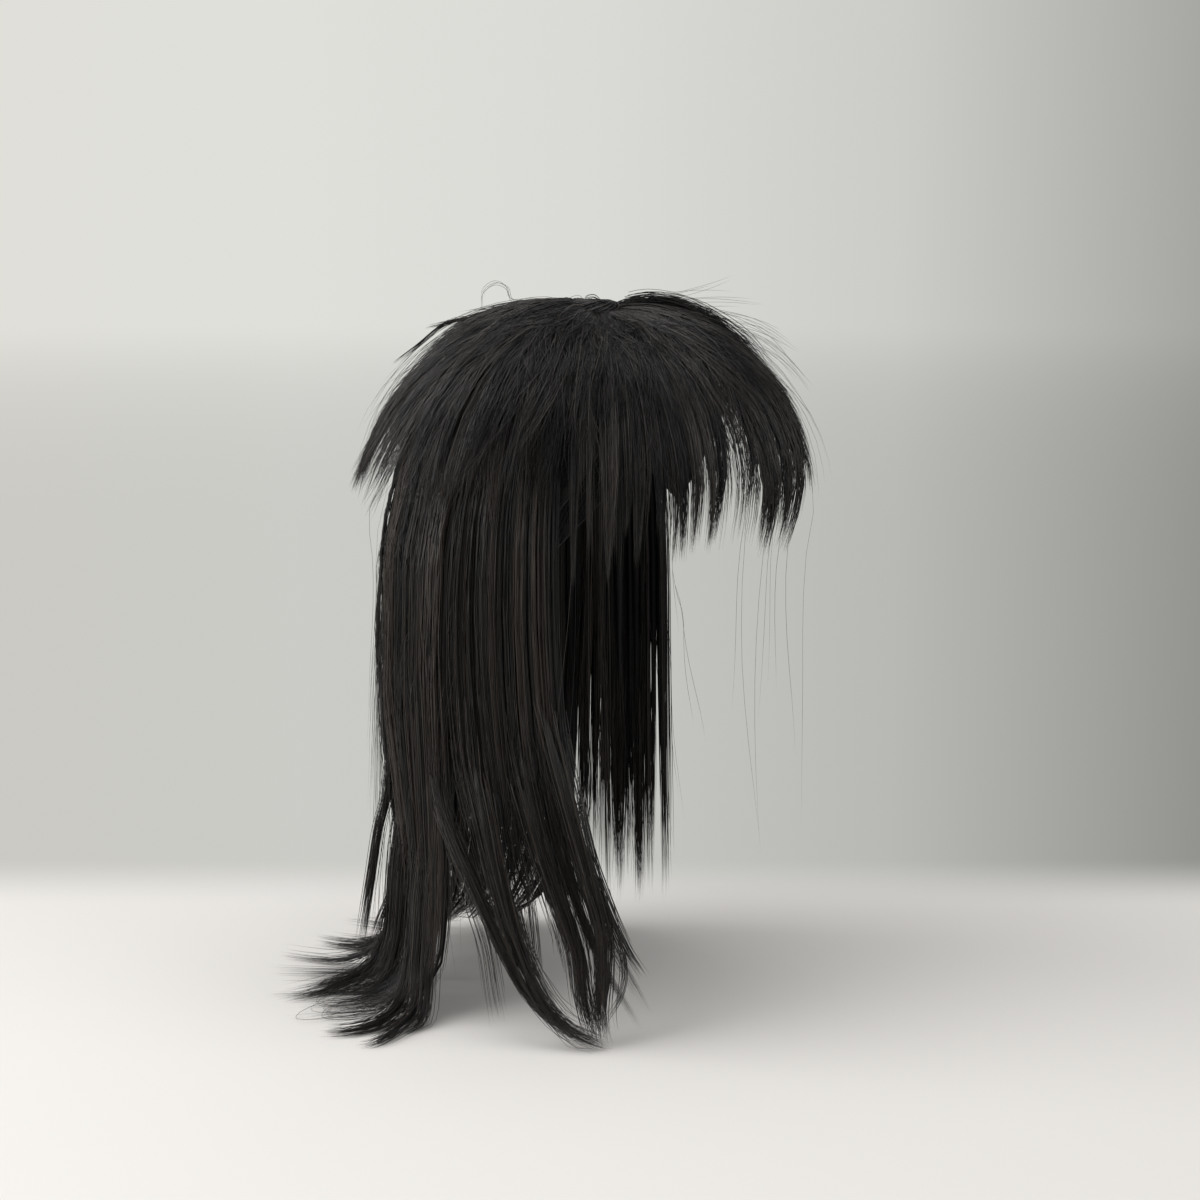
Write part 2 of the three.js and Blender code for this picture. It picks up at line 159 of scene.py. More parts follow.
class Tier:
    """A tier of hair: where its roots are sewn, its length, and its inside and outside depth."""

    def __init__(self, root, length, stand, thickness, shape, below=()):
        self.root, self.length, self.stand, self.thickness = root, length, stand, thickness
        self.outside_share = curve_of([(along, outside) for along, outside, wall in shape])
        self.wall_share = curve_of([(along, wall) for along, outside, wall in shape])
        self.below = below

    def depth_at(self, along, full):
        share = (along - self.root) / self.length
        outside = self.outside_share(share) * self.stand * full
        wall = np.maximum(self.wall_share(share) * self.thickness * full, THINNEST_WALL)
        inside = np.maximum(outside - wall, 0)
        for tier in self.below:
            covers = (along >= tier.root) & (along <= tier.root + tier.length)
            over = tier.depth_at(along, full)[1] + LAYER_GAP
            inside = np.where(covers, np.maximum(inside, over), inside)
        return inside, np.maximum(outside, inside + wall)


nape_tier = Tier(0.116, 0.285, 0.026, 0.006, [
    (0.00, 0.20, 1.0), (0.15, 0.36, 1.0), (0.40, 0.80, 1.1), (0.70, 1.00, 0.9), (1.00, 1.00, 0.3),
])
long_tier = Tier(0.072, 0.500, 0.047, 0.011, [
    (0.00, 0.10, 0.50), (0.04, 0.30, 0.75), (0.11, 0.53, 0.90), (0.16, 0.74, 1.00),
    (0.22, 0.88, 1.05), (0.35, 1.00, 1.05), (0.50, 0.96, 1.00), (0.65, 0.94, 0.95),
    (0.80, 0.93, 0.80), (0.92, 0.90, 0.60), (1.00, 0.81, 0.20),
], below=[nape_tier])
mid_tier = Tier(0.048, 0.124, 0.045, 0.0065, [
    (0.00, 0.10, 0.75), (0.14, 0.24, 0.85), (0.28, 0.38, 0.90), (0.50, 0.64, 0.95),
    (0.70, 0.88, 1.00), (0.85, 0.97, 0.90), (1.00, 1.08, 0.40),
], below=[long_tier])
crown_tier = Tier(0.024, 0.134, 0.060, 0.008, [
    (0.00, 0.08, 0.65), (0.12, 0.15, 0.75), (0.30, 0.30, 0.90), (0.44, 0.43, 0.95),
    (0.64, 0.64, 1.00), (0.84, 0.84, 0.90), (1.00, 1.00, 0.30),
], below=[mid_tier])
fringe_tier = Tier(0.024, 0.188, 0.050, 0.008, [
    (0.00, 0.10, 0.65), (0.08, 0.18, 0.80), (0.22, 0.42, 0.95), (0.38, 0.66, 1.00),
    (0.54, 0.90, 1.00), (0.66, 1.00, 0.90), (0.82, 0.86, 0.70), (1.00, 0.50, 0.25),
])
top_tier = Tier(0.009, 0.088, 0.033, 0.0045, [
    (0.00, 0.16, 1.0), (0.16, 0.37, 1.0), (0.42, 0.60, 1.0), (0.75, 0.89, 1.0), (1.00, 1.02, 0.3),
], below=[crown_tier, fringe_tier])


def tubes(points, outward, radii, tints, steps, sides=3, flat=1.0, strands_across=0):
    """Closed tubes along lines of points, each from a capped root to a single point at its tip.

    radii give the half width along each line, flat the thickness as a share of the width, and steps
    the places of the points along the line. It returns vertices, four-sided faces, three-sided faces,
    and each vertex's tint, place along its line and place across it, counted in strands.
    """
    lines, count = points.shape[:2]
    ahead = np.gradient(points, axis=1)
    ahead /= np.linalg.norm(ahead, axis=2, keepdims=True) + 1e-12
    across = np.cross(ahead, outward)
    across /= np.linalg.norm(across, axis=2, keepdims=True) + 1e-12
    up = np.cross(across, ahead)
    rings = count - 1
    angles = 2 * pi * np.arange(sides) / sides
    lift = flat * np.cos(angles)[None, None, :, None] * up[:, :rings, None]
    spread = np.sin(angles)[None, None, :, None] * across[:, :rings, None]
    ring = points[:, :rings, None] + radii[:, :rings, None, None] * (lift + spread)
    per_line = rings * sides + 1
    vertices = np.concatenate([ring.reshape(lines, rings * sides, 3), points[:, -1:]], axis=1)
    side = np.arange(sides)
    following = (side + 1) % sides
    step = np.arange(rings - 1)[:, None] * sides
    next_step = step + sides
    quads = np.stack([step + side, step + following, next_step + following, next_step + side], axis=-1)
    last = (rings - 1) * sides
    tip = np.stack([last + side, last + following, np.full(sides, per_line - 1)], axis=-1)
    root = np.stack([np.zeros(sides - 2, int), side[2:], side[1:-1]], axis=-1)
    first = (np.arange(lines) * per_line)[:, None, None]
    place_across = np.append(np.tile(np.sin(angles), rings), 0.0) * strands_across / 2
    line_start = 2.0 * strands_across * np.arange(lines)
    return (
        vertices.reshape(-1, 3),
        (first + quads.reshape(1, -1, 4)).reshape(-1, 4),
        (first + np.concatenate([tip, root])[None]).reshape(-1, 3),
        np.repeat(tints, per_line),
        np.tile(np.append(np.repeat(steps[:-1], sides), 1.0), lines),
        (line_start[:, None] + place_across[None, :]).ravel(),
    )


def hair_piece(name, parts, material, nodes=(), under=()):
    """One mesh of many tubes. Its UV map holds each strand's tint and the place along it.

    under is the hair that lies beneath the rest. It takes a darker, duller material of its own: painted
    shade in the gaps between the locks.
    """
    parts = [*parts, *under]
    starts = np.cumsum([0] + [len(part[0]) for part in parts])
    quads = np.concatenate([part[1] + start for part, start in zip(parts, starts)])
    triangles = np.concatenate([part[2] + start for part, start in zip(parts, starts)])
    vertices, tints, shares, across = (np.concatenate([part[i] for part in parts]) for i in (0, 3, 4, 5))
    corners = np.concatenate([quads.ravel(), triangles.ravel()]).astype(np.int32)
    starts = np.concatenate([
        np.arange(len(quads)) * 4,
        len(quads) * 4 + np.arange(len(triangles)) * 3,
    ]).astype(np.int32)
    mesh = bpy.data.meshes.new(name)
    mesh.vertices.add(len(vertices))
    mesh.vertices.foreach_set("co", vertices.astype(np.float32).ravel())
    mesh.loops.add(len(corners))
    mesh.loops.foreach_set("vertex_index", corners)
    mesh.polygons.add(len(starts))
    mesh.polygons.foreach_set("loop_start", starts)
    mesh.polygons.foreach_set("use_smooth", np.ones(len(starts), bool))
    mesh.update(calc_edges=True)
    strand = np.stack([tints, shares], axis=1)[corners]
    mesh.uv_layers.new(name="strand").data.foreach_set("uv", strand.astype(np.float32).ravel())
    mesh.attributes.new("across", "FLOAT", "POINT").data.foreach_set("value", across.astype(np.float32))
    mesh.materials.append(material)
    if under:
        low = [i >= len(parts) - len(under) for i in range(len(parts))]
        slots = [np.repeat(low, [len(part[faces]) for part in parts]) for faces in (1, 2)]
        mesh.polygons.foreach_set("material_index", np.concatenate(slots).astype(np.int32))
        # The hair beneath takes the darker material: painted shade.
        mesh.materials.append(under_hair_painted_shade)
    piece = bpy.data.objects.new(name, mesh)
    bpy.context.scene.collection.objects.link(piece)
    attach(piece, "root")
    if nodes:
        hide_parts(*nodes)
    print(name, len(quads) * 2 + len(triangles), "triangles")
    return piece


def comb(rng, tier, start, end, locks, strands, reach, roots=(0, 0), length=None, gather=0.7,
         sway=2.0, wisps=7, ragged=0.25, flick=0.0, lift=0.002, swing=None, inset=None, lies=False,
         steps=8, width=STRAND, depths=(0.2, 1.0), trim=None, places=None):
    """Strands combed down over a tier in locks, each lock parted in wisps that run to a point.

    reach is the range of the locks' lengths as a share of the tier's: the outer locks are cut shorter.
    roots is how far down the path the roots are spread, gather how far a lock closes at its tip, sway
    how far its tip strays sideways in degrees, ragged how unevenly its strands are cut, flick how far it
    may turn outwards, lift how far its strands part in depth, and trim the hair's cut round the head, as
    a share of its length. swing turns the hair as it falls, and inset draws it in. places sets the
    azimuth and the reach of each lock.
    """
    length = length or tier.length
    t = places_along(steps)
    if places is not None:
        locks = len(places)
    pitch = (end - start) / locks
    centre = start + pitch * (np.arange(locks) + 0.5 + rng.uniform(-0.35, 0.35, locks))
    broad = pitch * rng.uniform(0.9, 1.8, locks)
    lock_depth = rng.uniform(0, 1, locks)
    lock_reach = mix(reach[1], reach[0], np.clip(lock_depth + rng.uniform(-0.35, 0.35, locks), 0, 1))
    if places is not None:
        centre, lock_reach = np.array(places, float).T
    if trim is not None:
        lock_reach = lock_reach * trim(centre)
    lock_depth = mix(*depths, lock_depth)
    lock_sway = rng.normal(0, sway, locks)
    lock_flick = flick * rng.uniform(0, 1, locks) ** 2
    lock_tint = rng.normal(0, 0.22, locks)
    wisp_place = rng.uniform(-0.5, 0.5, (locks, wisps))
    wisp_reach = 1 - 0.3 * ragged * rng.uniform(0, 1, (locks, wisps))
    wisp_depth = rng.uniform(-0.3, 0.3, (locks, wisps))
    wisp_wave = rng.uniform(0, 2 * pi, (locks, wisps))
    wisp_sway = rng.normal(0, 0.5 * sway, (locks, wisps))
    wisp_flick = rng.uniform(0.3, 1.4, (locks, wisps))

    lock = rng.choice(locks, strands, p=broad / broad.sum())
    wisp = rng.integers(0, wisps, strands)
    place = wisp_place[lock, wisp] + rng.uniform(-0.9, 0.9, strands) / wisps
    strand_reach = lock_reach[lock] * wisp_reach[lock, wisp]
    strand_reach *= 1 - ragged * rng.uniform(0, 1, strands) ** 2.5
    root = tier.root + rng.uniform(*roots, strands)

    along = mix(root[:, None], tier.root + strand_reach[:, None] * length, t)
    from_lock = (wisp_place[lock, wisp] * broad[lock])[:, None] * (1 - gather * t ** 2)
    from_wisp = ((place - wisp_place[lock, wisp]) * broad[lock])[:, None] * (1 - 0.9 * t ** 2)
    azimuth = centre[lock][:, None] + from_lock + from_wisp
    azimuth = azimuth + (lock_sway[lock] + wisp_sway[lock, wisp])[:, None] * t ** 2
    wave = np.sin(5 * t + wisp_wave[lock, wisp][:, None]) - np.sin(wisp_wave[lock, wisp][:, None])
    azimuth = azimuth + 0.2 * sway * wave * t
    azimuth = azimuth + rng.normal(0, 0.4 * sway, strands)[:, None] * t ** 2
    if swing is not None:
        azimuth = azimuth + swing(azimuth, along)
    full = fullness(azimuth, along)
    inside, outside = tier.depth_at(along, full)
    share = lock_depth[lock] + wisp_depth[lock, wisp] + rng.normal(0, 0.15, strands)
    share = np.clip(share, depths[0], 1)
    depth = mix(inside, outside, share[:, None])
    depth = depth + (lock_flick[lock] * wisp_flick[lock, wisp])[:, None] * t ** 4
    depth = depth + rng.normal(0, lift, strands)[:, None] * t ** 2
    if inset is not None:
        depth = depth - inset(azimuth, along)
    points, outward = on_path(azimuth, along, np.maximum(depth, LEAST_DEPTH), lies)
    points[..., 2] = np.maximum(points[..., 2], STRAND_FLOOR)
    thick = width * rng.uniform(0.75, 1.25, strands)
    radii = thick[:, None] * taper(t, 0.3, 0.12)
    return tubes(points, outward, radii, strand_tints(rng, strands, lock_tint[lock]), t[0])


def hearts(rng, tier, start, end, count, reach, roots=0.0, length=None, swing=None, inset=None,
           lies=False, gather=0.6, steps=10, depth_share=0.12, broad=0.6):
    """The hearts of the locks: flat, tapered bodies, low among the strands, that keep them opaque.

    depth_share is how far they lie from the tier's inside to its outside, and broad their half width as
    a share of the distance between them.
    """
    length = length or tier.length
    pitch = (end - start) / count
    centre = start + pitch * (np.arange(count) + 0.5)
    t = places_along(steps)
    last = tier.root + rng.uniform(*reach, (count, 1)) * length
    along = mix(np.full((count, 1), tier.root + roots), last, t)
    azimuth = centre[:, None] + rng.normal(0, 0.3 * pitch, (count, 1)) * t ** 2
    if swing is not None:
        azimuth = azimuth + swing(azimuth, along)
    inside, outside = tier.depth_at(along, fullness(azimuth, along))
    depth = mix(inside, outside, depth_share + rng.uniform(-0.1, 0.1, (count, 1)))
    if inset is not None:
        depth = depth - inset(azimuth, along)
    points, outward = on_path(azimuth, along, depth, lies)
    points[..., 2] = np.maximum(points[..., 2], HEART_FLOOR)
    spread = np.radians(pitch) * np.linalg.norm(points[..., :2], axis=-1) * broad
    radii = np.clip(spread * (1 - gather * t ** 2) * taper(t, 0.4, 0.04), NARROWEST_HEART, WIDEST_HEART)
    # Their tints lie towards the dark end: painted shade, as they lie beneath the strands.
    return tubes(points, outward, radii, rng.uniform(0.25, 0.5, count), t[0], sides=6, flat=0.10,
                 strands_across=11)


def carried(nodes, links, value, taken, given=(0.0, 1.0), smooth=False):
    """A value carried from the range taken to the range given."""
    made = nodes.new("ShaderNodeMapRange")
    if smooth:
        made.interpolation_type = "SMOOTHSTEP"
    made.inputs["From Min"].default_value, made.inputs["From Max"].default_value = taken
    made.inputs["To Min"].default_value, made.inputs["To Max"].default_value = given
    links.new(value, made.inputs["Value"])
    return made.outputs["Result"]


def vector_of(nodes, links, operation, first, second=None):
    """The result of vector maths on a socket, and on fixed numbers where it takes two."""
    made = nodes.new("ShaderNodeVectorMath")
    made.operation = operation
    links.new(first, made.inputs[0])
    if second is not None:
        made.inputs[1].default_value = second
    return made.outputs["Value" if operation in ("DOT_PRODUCT", "LENGTH") else "Vector"]


def number_of(nodes, links, operation, *given):
    """The result of maths on sockets and numbers."""
    made = nodes.new("ShaderNodeMath")
    made.operation = operation
    for i, value in enumerate(given):
        if isinstance(value, (int, float)):
            made.inputs[i].default_value = value
        else:
            links.new(value, made.inputs[i])
    return made.outputs[0]


def relief_on(nodes, links, shader, height, strength, depth):
    relief = nodes.new("ShaderNodeBump")
    relief.inputs["Strength"].default_value = strength
    relief.inputs["Distance"].default_value = depth
    links.new(height, relief.inputs["Height"])
    links.new(relief.outputs["Normal"], shader.inputs["Normal"])


def hair_material(name, dark, brown, roughness, shine):
    """Black synthetic hair: each strand has a tint of its own, and a gloss that softens to its tip.

    A heart is marked across its width with fine strands, in its colour and its relief.
    """
    material = bpy.data.materials.new(name)
    material.use_nodes = True
    nodes, links = material.node_tree.nodes, material.node_tree.links
    shader = nodes["Principled BSDF"]
    shader.inputs["Specular IOR Level"].default_value = shine
    strand = nodes.new("ShaderNodeUVMap")
    strand.uv_map = "strand"
    parts = nodes.new("ShaderNodeSeparateXYZ")
    links.new(strand.outputs["UV"], parts.inputs[0])
    across = nodes.new("ShaderNodeAttribute")
    across.attribute_name = "across"
    fine = nodes.new("ShaderNodeTexNoise")
    fine.noise_dimensions = "1D"
    fine.inputs["Scale"].default_value = 1.0
    fine.inputs["Detail"].default_value = 3.0
    links.new(across.outputs["Fac"], fine.inputs["W"])
    uneven = carried(nodes, links, fine.outputs["Fac"], (0, 1), (-0.45, 0.45))
    tint = nodes.new("ShaderNodeValToRGB")
    tint.color_ramp.elements[0].position = 0.33
    tint.color_ramp.elements[0].color = (*dark, 1)
    tint.color_ramp.elements[1].position = 0.95
    tint.color_ramp.elements[1].color = (*brown, 1)
    links.new(number_of(nodes, links, "ADD", parts.outputs["X"], uneven), tint.inputs["Fac"])
    links.new(tint.outputs["Color"], shader.inputs["Base Color"])
    relief_on(nodes, links, shader, fine.outputs["Fac"], 0.8, 0.0006)
    gloss = carried(nodes, links, parts.outputs["Y"], (0, 1), (roughness - 0.06, roughness + 0.08))
    links.new(gloss, shader.inputs["Roughness"])
    return material


black_hair = hair_material(
    "black_hair", (0.0025, 0.0025, 0.0032), (0.052, 0.045, 0.040), 0.34, shine=0.42)
brown_black_hair = hair_material(
    "brown_black_hair", (0.0028, 0.0026, 0.0025), (0.050, 0.040, 0.033), 0.36, shine=0.45)
# Painted shade: a darker, duller hair for what lies beneath, so the gaps between locks look shaded.
under_hair_painted_shade = hair_material(
    "under_hair_painted_shade", (0.002, 0.002, 0.002), (0.024, 0.020, 0.018), 0.42, shine=0.18)

rng = np.random.default_rng(11)

# The back and front edge of the long hair on the wearer's right, where it ends along the path, and how
# long the side hair is. Then the azimuth that the tail is drawn together to, and the places of the
# points along tail and side strands, closest where they bend.
SIDE_BACK, SIDE_FRONT = -104, -67
SIDE_END = 0.477
SIDE_LENGTH = 0.405
BACK_RIGHT = 213
TAIL_STEPS = (0, 0.06, 0.13, 0.27, 0.48, 0.70, 0.75, 0.79, 0.83, 0.87, 0.93, 1)
SIDE_STEPS = (0, 0.08, 0.17, 0.30, 0.45, 0.60, 0.72, 0.82, 0.91, 1)


def forward_swing(azimuth, along):
    """The right lengths swing forward as they fall, their back edge later and further."""
    fall = np.clip((along - DOME_ARC) / (SIDE_END - DOME_ARC), 0, 1.1)
    front = np.clip((azimuth - SIDE_BACK) / (SIDE_FRONT - SIDE_BACK), 0, 1)
    return mix(38, 32, front) * fall ** mix(4.0, 2.8, front)


def part_right(azimuth, along):
    """The fringe opens at its parting: to the wearer's right of it the tips lean right."""
    return -4 * np.exp((azimuth + 12) / 9) * smooth_step(along, 0.08, 0.20)


def part_left(azimuth, along):
    """To the wearer's left of the parting the tips lean left."""
    return 4 * np.exp(-(azimuth + 5) / 12) * smooth_step(along, 0.07, 0.20)


def gather_tail(azimuth, along):
    """The tail is drawn together where it lies."""
    return (BACK_RIGHT - azimuth) * 0.24 * smooth_step(along, BEND_TOP - 0.06, 0.57)


def slim_tail(azimuth, along):
    """Below the shoulders the tail is slimmer at its right, where thin locks leave it."""
    return 0.009 * np.exp(-((azimuth - BACK_RIGHT) / 32) ** 2) * smooth_step(along, 0.30, 0.40)


# How the hair is cut round the head, by azimuth, as a share of each tier's length.
right_cut = curve_of([(-66, 1.03), (-52, 1.0), (-41, 0.95), (-30, 0.92), (-22, 0.89), (-12, 0.85)])
left_cut = curve_of([(-8, 0.92), (0, 0.94), (6, 0.78), (12, 0.92), (18, 0.78), (28, 0.70), (38, 0.62),
                     (50, 0.74), (66, 0.90)])
side_cut = curve_of([(-104, 0.93), (-98, 0.92), (-92, 0.86), (-87, 0.84), (-82, 0.94), (-67, 1.0)])
mid_cut = curve_of([(72, 1), (185, 1), (200, 0.72), (224, 0.72), (240, 1), (288, 1)])

# How far the outside of all the hair stands off the head, by the distance along the path.
hair_outside = curve_of([(0.01, 0.008), (0.05, 0.021), (0.10, 0.038), (0.155, 0.055), (0.20, 0.048),
                         (0.30, 0.046), (0.60, 0.042)])


def lock_of(rng, points, strands, spread, width=FINE_STRAND, steps=12, start=0.0, fan=1.0, heart=0.0):
    """Strands that follow a line of their own, closing or fanning out at its end, round a flat heart.

    points are the line's, spread is how far the strands stand off it, fan how that changes towards the
    end, start how far down the line they may begin, and heart the half width of the heart.
    """
    points = np.array(points, float)
    keys = np.linspace(0, 1, len(points))
    lines = [curve_of(np.column_stack([keys, points[:, axis]])) for axis in range(3)]
    t = places_along(steps)
    first = rng.uniform(0, max(start, 1e-6), (strands, 1))
    last = 1 - 0.3 * rng.uniform(0, 1, (strands, 1)) ** 2
    at = mix(first, last, t)
    line = np.stack([axis(at) for axis in lines], axis=-1)
    line = line + rng.normal(0, spread, (strands, 1, 3)) * mix(1, fan, at[..., None])
    line = line + rng.normal(0, 0.6 * spread, (strands, 1, 3)) * at[..., None] ** 2
    line[..., 2] = np.maximum(line[..., 2], STRAND_FLOOR)
    outward = np.broadcast_to(FLAT_TOWARDS, line.shape)
    radii = width * rng.uniform(0.8, 1.2, (strands, 1)) * taper(t, 0.3, 0.15)
    made = [tubes(line, outward, radii, strand_tints(rng, strands), t[0])]
    if heart:
        line = np.stack([axis(0.9 * t) for axis in lines], axis=-1)
        line[..., 2] = np.maximum(line[..., 2], HEART_FLOOR)
        outward = np.broadcast_to(FLAT_TOWARDS, line.shape)
        radii = heart * taper(t, 0.5, 0.04) * mix(0.05, 1, smooth_step(t, 0, 0.4))
        made.append(tubes(line, outward, radii, np.array([0.4]), t[0], sides=6, flat=0.25,
                          strands_across=8))
    return made


def tail_lock(rng, azimuth, rows, strands, spread, heart):
    """A lock that leaves the tail at an azimuth, and lies on the surface along a line of its own.

    rows are that line's points. Above them it comes down inside the tail, to its outside.
    """
    a = np.radians(azimuth)
    fall = []
    for out, height in ((0.024, -0.27), (0.038, -0.335), (0.044, -0.395)):
        radius = head_radius(azimuth) + out
        fall.append((radius * np.sin(a), -radius * np.cos(a), height))
    return lock_of(rng, fall + rows, strands, spread, start=0.3, fan=0.8, heart=heart)


def loose_strands(rng, count, start, end, roots, reach, away, sway, width=0.00013):
    """Single fine strands that have worked loose and float a little off the hair.

    roots and reach are where along the path they begin and how long they are, and away how far their
    tips stand off the outside.
    """
    azimuth = rng.uniform(start, end, (count, 1))
    t = places_along(12)
    root = rng.uniform(*roots, (count, 1))
    along = root + t * rng.uniform(*reach, (count, 1))
    turns = azimuth + sway * (rng.normal(0, 1, (count, 1)) * t ** 1.5
                              + 0.3 * np.sin(6 * t + rng.uniform(0, 2 * pi, (count, 1))) * t)
    under = hair_outside(along) * fullness(turns, along)
    depth = under * mix(0.7, 1.0, smooth_step(t, 0.0, 0.25)) + rng.uniform(*away, (count, 1)) * t ** 1.3
    points, outward = on_path(turns, along, depth, False)
    points[..., 2] = np.maximum(points[..., 2], STRAND_FLOOR)
    radii = width * rng.uniform(0.8, 1.2, (count, 1)) * taper(t, 0.3, 0.2)
    return tubes(points, outward, radii, rng.uniform(0.2, 0.8, count), t[0])


hair_piece("top_hair", [
    comb(rng, top_tier, 0, 360, locks=60, strands=2500, reach=(0.66, 1.10), roots=(-0.0075, 0.030),
         sway=8, flick=0.003, lift=0.0015, ragged=0.4, wisps=6, steps=7, depths=(-0.5, 0.8)),
    comb(rng, top_tier, 0, 360, locks=75, strands=1300, reach=(0.60, 1.55), roots=(-0.004, 0.030),
         sway=7, flick=0.006, lift=0.001, ragged=0.2, wisps=2, steps=7, gather=0.95, depths=(-0.8, 0.9)),
    comb(rng, top_tier, 0, 360, locks=120, strands=800, reach=(0.7, 1.5), roots=(-0.004, 0.040),
         sway=16, flick=0.005, lift=0.002, ragged=0.4, wisps=3, steps=7, depths=(-0.5, 1.0),
         width=FINE_STRAND),
], black_hair, ["top_layer"])
hair_piece("crown_hair", [
    comb(rng, crown_tier, 66, 294, locks=46, strands=2500, reach=(0.78, 1.05), roots=(0, 0.035),
         sway=4, flick=0.004, lift=0.0015, ragged=0.4, wisps=7, steps=7, depths=(0.3, 0.9)),
    comb(rng, crown_tier, 66, 294, locks=48, strands=1400, reach=(0.88, 1.12), roots=(0, 0.035),
         sway=5, flick=0.010, lift=0.001, ragged=0.2, wisps=3, steps=7, gather=0.95, depths=(0.4, 1.0)),
    comb(rng, crown_tier, 66, 294, locks=60, strands=350, reach=(0.7, 1.15), roots=(0, 0.050),
         sway=12, flick=0.011, lift=0.002, ragged=0.4, wisps=3, steps=7, depths=(0.5, 1.0),
         width=FINE_STRAND),
    comb(rng, crown_tier, 207, 217, locks=2, strands=260, reach=(1.02, 1.08), roots=(0.01, 0.035),
         sway=1, flick=0.008, lift=0.001, ragged=0.25, wisps=6, steps=7, depths=(0.6, 1.0)),
], black_hair, ["crown_layer"], under=[
    hearts(rng, crown_tier, 68, 292, 54, (0.5, 0.75), roots=0.015, steps=8),
])
hair_piece("fringe_hair_right", [
    comb(rng, fringe_tier, -66, -12, locks=18, strands=1200, reach=(0.44, 0.66), roots=(0, 0.030),
         sway=3, lift=0.0015, ragged=0.3, steps=8, swing=part_right),
    comb(rng, fringe_tier, -66, -13, locks=0, strands=620, reach=(0.93, 1.05), roots=(0, 0.030),
         sway=1.0, lift=0.0015, ragged=0.15, steps=9, gather=0.92, wisps=3, swing=part_right, places=[
             (-64, 1.03), (-58, 0.90), (-52, 1.0), (-46, 0.84), (-41, 0.95), (-36, 0.86), (-32, 0.93),
             (-28, 0.92), (-24, 0.90), (-20, 0.90), (-17, 0.87)]),
    comb(rng, fringe_tier, -66, -14, locks=26, strands=340, reach=(0.70, 1.0), roots=(0, 0.030),
         sway=1.2, lift=0.0015, ragged=0.4, steps=9, gather=0.5, wisps=5, width=FINE_STRAND,
         trim=right_cut),
    comb(rng, fringe_tier, -16, 1, locks=16, strands=110, reach=(0.78, 0.94), roots=(0, 0.030),
         sway=0.6, lift=0.001, ragged=0.2, steps=9, gather=0.0, width=FINE_STRAND),
], black_hair, ["fringe_right"], under=[
    hearts(rng, fringe_tier, -64, -16, 14, (0.26, 0.36), roots=0.015, steps=7),
])
hair_piece("fringe_hair_left", [
    comb(rng, fringe_tier, -5, 66, locks=20, strands=1080, reach=(0.46, 0.68), roots=(0, 0.030),
         sway=3, flick=0.004, lift=0.0015, ragged=0.3, steps=8, swing=part_left),
    comb(rng, fringe_tier, -4, 66, locks=0, strands=800, reach=(0.66, 0.93), roots=(0, 0.030),
         sway=1.2, flick=0.007, lift=0.0015, ragged=0.2, steps=9, gather=0.92, wisps=3, swing=part_left,
         places=[(-4, 0.90), (-1, 0.93), (2, 0.86), (6, 0.70), (10, 0.90), (14, 0.93), (18, 0.74),
                 (24, 0.74), (29, 0.66), (35, 0.58), (41, 0.60), (47, 0.68), (54, 0.79), (62, 0.86)]),
    comb(rng, fringe_tier, -6, 10, locks=0, strands=110, reach=(0.8, 0.95), roots=(0, 0.030),
         sway=0.8, lift=0.001, ragged=0.2, steps=9, gather=0.92, wisps=3, swing=part_left,
         places=[(-5, 0.91), (-2, 0.93), (13, 0.94)]),
    comb(rng, fringe_tier, -6, 66, locks=36, strands=280, reach=(0.66, 1.0), roots=(0, 0.030),
         sway=2, flick=0.009, lift=0.002, ragged=0.4, steps=9, gather=0.4, width=FINE_STRAND,
         trim=left_cut),
], black_hair, ["fringe_left"], under=[
    hearts(rng, fringe_tier, 0, 64, 18, (0.26, 0.38), roots=0.015, steps=7),
])
hair_piece("mid_hair", [
    comb(rng, mid_tier, 72, 288, locks=40, strands=1500, reach=(0.85, 1.1), roots=(0, 0.02),
         sway=3, lift=0.001, ragged=0.3, depths=(0.0, 0.8), steps=7, trim=mid_cut),
], brown_black_hair, ["mid_layer"], under=[
    hearts(rng, mid_tier, 74, 198, 30, (0.6, 0.8), steps=8),
    hearts(rng, mid_tier, 230, 286, 14, (0.6, 0.8), steps=8),
])
